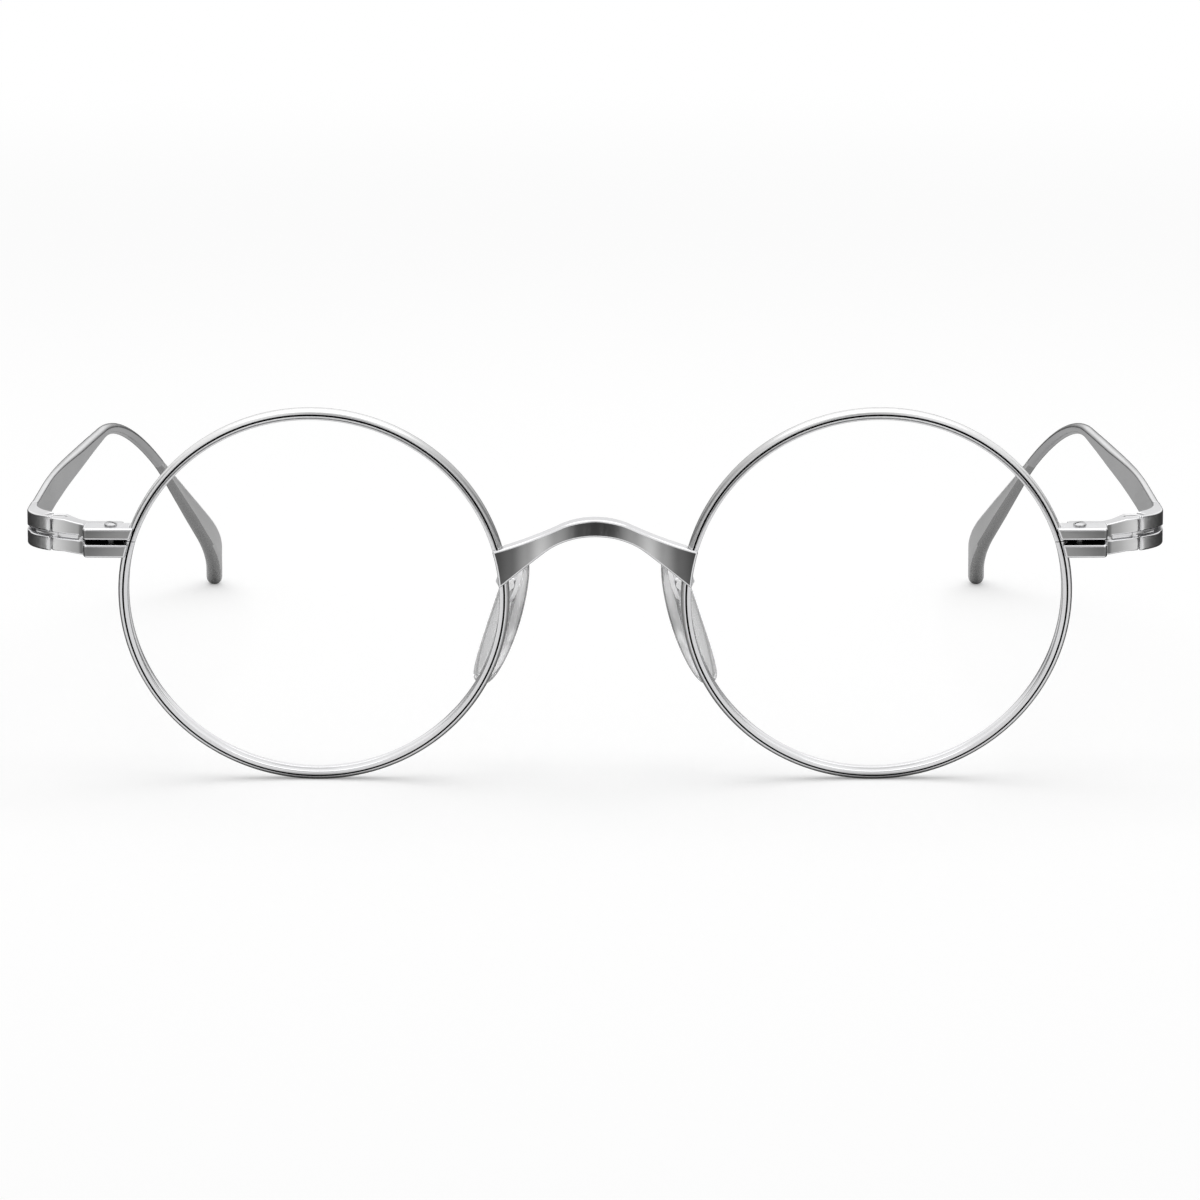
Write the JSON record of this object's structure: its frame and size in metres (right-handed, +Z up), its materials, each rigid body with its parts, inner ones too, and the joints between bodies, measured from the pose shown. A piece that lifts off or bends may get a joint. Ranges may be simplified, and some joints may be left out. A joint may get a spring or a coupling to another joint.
{
  "type": "eyeglass frame",
  "caption": "Round full-rim metal eyeglass frame with a flared bridge, slotted end pieces, folding temples with flattened tips and clear nose pads.",
  "frame": {"origin": "centre of the bounding box, on the floor that the rims and temple tips rest on", "axes": "+Z up, the front faces -Y, +X to the right as seen from the front; +Y runs along the temples to their tips"},
  "size_m": [0.139, 0.148, 0.047],
  "materials": {
    "polished_steel": "polished silver",
    "satin_steel": "satin silver with polished edges",
    "clear_pad": "clear soft plastic"
  },
  "bodies": {
    "front": {"rim_left": "polished_steel", "rim_right": "polished_steel", "bridge": "satin_steel", "upper_closing_block_left": "satin_steel", "upper_closing_block_right": "satin_steel", "lower_closing_block_left": "satin_steel", "lower_closing_block_right": "satin_steel", "closing_screw_left": "polished_steel", "closing_screw_right": "polished_steel", "end_piece_left": "satin_steel", "end_piece_right": "satin_steel", "hinge_screw_left": "polished_steel", "hinge_screw_right": "polished_steel", "upper_washer_left": "polished_steel", "upper_washer_right": "polished_steel", "lower_washer_left": "polished_steel", "lower_washer_right": "polished_steel", "pad_arm_left": "polished_steel", "pad_arm_right": "polished_steel", "pad_box_left": "polished_steel", "pad_box_right": "polished_steel", "pad_screw_left": "polished_steel", "pad_screw_right": "polished_steel"},
    "temple_left": {"temple_corner_left": "polished_steel", "temple_left": "polished_steel"},
    "pad_left": {"nose_pad_left": "clear_pad", "pad_core_left": "polished_steel"},
    "temple_right": {"temple_corner_right": "polished_steel", "temple_right": "polished_steel"},
    "pad_right": {"nose_pad_right": "clear_pad", "pad_core_right": "polished_steel"}
  },
  "joints": [
    {"name": "temple_left_fold", "type": "hinge", "parent": "front", "child": "temple_left", "pos_m": [-0.0652, -0.06615, 0.03077], "axis": [0, 0, -1], "range_deg": [0, 83]},
    {"name": "temple_right_fold", "type": "hinge", "parent": "front", "child": "temple_right", "pos_m": [0.0652, -0.06615, 0.03077], "axis": [0, 0, 1], "range_deg": [0, 74]},
    {"name": "pad_left_rock", "type": "hinge", "parent": "front", "child": "pad_left", "pos_m": [-0.0107, -0.0641, 0.02429], "axis": [-0.2151, 0.9557, 0.2007], "range_deg": [-6, 6]},
    {"name": "pad_right_rock", "type": "hinge", "parent": "front", "child": "pad_right", "pos_m": [0.0107, -0.0641, 0.02429], "axis": [0.2151, 0.9557, 0.2007], "range_deg": [-6, 6]}
  ]
}
